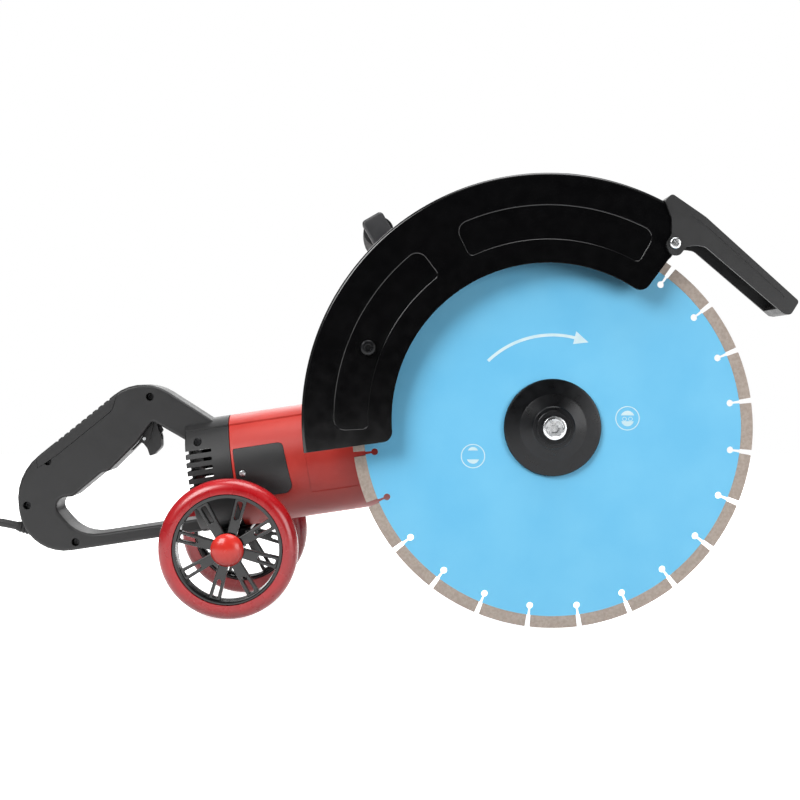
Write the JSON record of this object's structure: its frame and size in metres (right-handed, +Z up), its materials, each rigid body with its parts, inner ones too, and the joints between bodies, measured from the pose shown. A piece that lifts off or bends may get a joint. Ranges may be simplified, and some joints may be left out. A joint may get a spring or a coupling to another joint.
{
  "type": "electric cut-off saw",
  "caption": "Corded electric concrete cut-off saw with a large guarded diamond blade, two rear carriage wheels, a D-shaped trigger handle and a front loop handle.",
  "frame": {"origin": "centre of the saw's own box, without the cable, at floor level", "axes": "+X from the rear handle towards the blade's front, +Y from the blade side towards the motor's far side, +Z up"},
  "size_m": [0.9173, 0.3411, 0.395],
  "materials": {
    "guard_paint": "gloss black powder coat over pressed steel",
    "blade_enamel": "sky blue lacquered steel core with sintered diamond segments",
    "black_oxide": "black oxide finished steel",
    "bright_steel": "bright zinc plated or ground steel",
    "red_shell": "fine-textured glass filled nylon, red",
    "red_tyre": "glossy red polyurethane tread",
    "wheel_rim": "gloss black moulded nylon",
    "cap_red": "gloss red moulded cap",
    "black_shell": "fine-textured glass filled nylon, black",
    "grey_moulding": "dark grey moulded nylon",
    "soft_black": "soft overmoulded elastomer and cable sheath",
    "cast_alloy": "die cast aluminium",
    "laminations": "stacked electrical steel",
    "copper": "varnished copper windings",
    "carbon": "pressed carbon"
  },
  "bodies": {
    "saw_body": {"motor_housing": "red_shell", "brush_cover_near": "black_shell", "brush_cover_far": "black_shell", "cover_screw": "bright_steel", "handle_near": "black_shell", "handle_far": "black_shell", "grip_inlay": "soft_black", "switch_module": "grey_moulding", "trigger_pin": "bright_steel", "stator_pack": "laminations", "field_winding_front": "copper", "field_winding_rear": "copper", "brush_holder_near": "cast_alloy", "brush_holder_far": "cast_alloy", "carbon_brush_near": "carbon", "carbon_brush_far": "carbon", "bearing_shield": "cast_alloy", "gear_case": "cast_alloy", "spindle_carrier": "cast_alloy", "spindle_bearing_front": "bright_steel", "spindle_bearing_rear": "bright_steel", "motor_bearing_front": "bright_steel", "motor_bearing_rear": "bright_steel", "loop_handle": "grey_moulding", "loop_grip": "soft_black", "loop_bolt_near": "bright_steel", "loop_bolt_far": "bright_steel", "axle_bracket": "black_oxide", "axle": "bright_steel", "cable_gland": "soft_black", "cord": "soft_black", "cord_tail": "soft_black", "cord_coil": "soft_black", "coil_tie": "soft_black", "plug": "black_shell"},
    "trigger": {"trigger": "black_shell"},
    "lock_off_lever": {"lock_off_lever": "grey_moulding"},
    "spindle_lock": {"spindle_lock_button": "black_shell"},
    "rotor": {"armature_shaft": "bright_steel", "armature": "laminations", "fan": "grey_moulding", "pinion": "bright_steel"},
    "blade_drive": {"spindle": "bright_steel", "crown_gear": "black_oxide", "inner_flange": "black_oxide", "diamond_blade": "blade_enamel", "outer_flange": "black_oxide", "flange_bolt": "bright_steel"},
    "guard": {"guard_front": "guard_paint", "guard_rear": "guard_paint", "guard_clamp": "black_oxide", "guard_bolt": "black_oxide", "deflector_screw": "bright_steel"},
    "flap": {"deflector": "black_shell"},
    "wheel_near": {"rim_near": "wheel_rim", "tyre_near": "red_tyre", "hub_cap_near": "cap_red"},
    "wheel_far": {"rim_far": "wheel_rim", "tyre_far": "red_tyre", "hub_cap_far": "cap_red"}
  },
  "joints": [
    {"name": "spindle_spin", "type": "hinge", "parent": "saw_body", "child": "blade_drive", "pos_m": [0.14602, -0.09415, 0.175], "axis": [0, 1, 0], "continuous": true},
    {"name": "rotor_spin", "type": "hinge", "parent": "saw_body", "child": "rotor", "pos_m": [0.14602, 0.02585, 0.175], "axis": [0.989, 0, 0.1478], "continuous": true},
    {"name": "guard_swing", "type": "hinge", "parent": "saw_body", "child": "guard", "pos_m": [0.14602, -0.07415, 0.175], "axis": [0, 1, 0], "range_deg": [-35, 30]},
    {"name": "flap_swing", "type": "hinge", "parent": "guard", "child": "flap", "pos_m": [0.24852, -0.09415, 0.3337], "axis": [0, 1, 0], "range_deg": [0, 22]},
    {"name": "trigger_pull", "type": "hinge", "parent": "saw_body", "child": "trigger", "pos_m": [-0.22025, 0.02585, 0.18345], "axis": [0, 1, 0], "range_deg": [0, 12], "stiffness_Nm_per_rad": 0.8, "springref_deg": -5.73},
    {"name": "lever_press", "type": "hinge", "parent": "trigger", "child": "lock_off_lever", "pos_m": [-0.22946, 0.02585, 0.15983], "axis": [0, -1, 0], "range_deg": [0, 8], "stiffness_Nm_per_rad": 0.05, "springref_deg": -11.46},
    {"name": "spindle_lock_push", "type": "slide", "parent": "saw_body", "child": "spindle_lock", "axis": [0, -1, 0], "range_m": [0, 0.0045], "stiffness_N_per_m": 600, "springref_m": -0.002},
    {"name": "wheel_near_spin", "type": "hinge", "parent": "saw_body", "child": "wheel_near", "pos_m": [-0.14168, -0.05015, 0.0635], "axis": [0, 1, 0], "continuous": true},
    {"name": "wheel_far_spin", "type": "hinge", "parent": "saw_body", "child": "wheel_far", "pos_m": [-0.14168, 0.10185, 0.0635], "axis": [0, 1, 0], "continuous": true}
  ],
  "couplings": [
    {"joint": "rotor_spin", "follows": "spindle_spin", "ratio": -3.5}
  ]
}
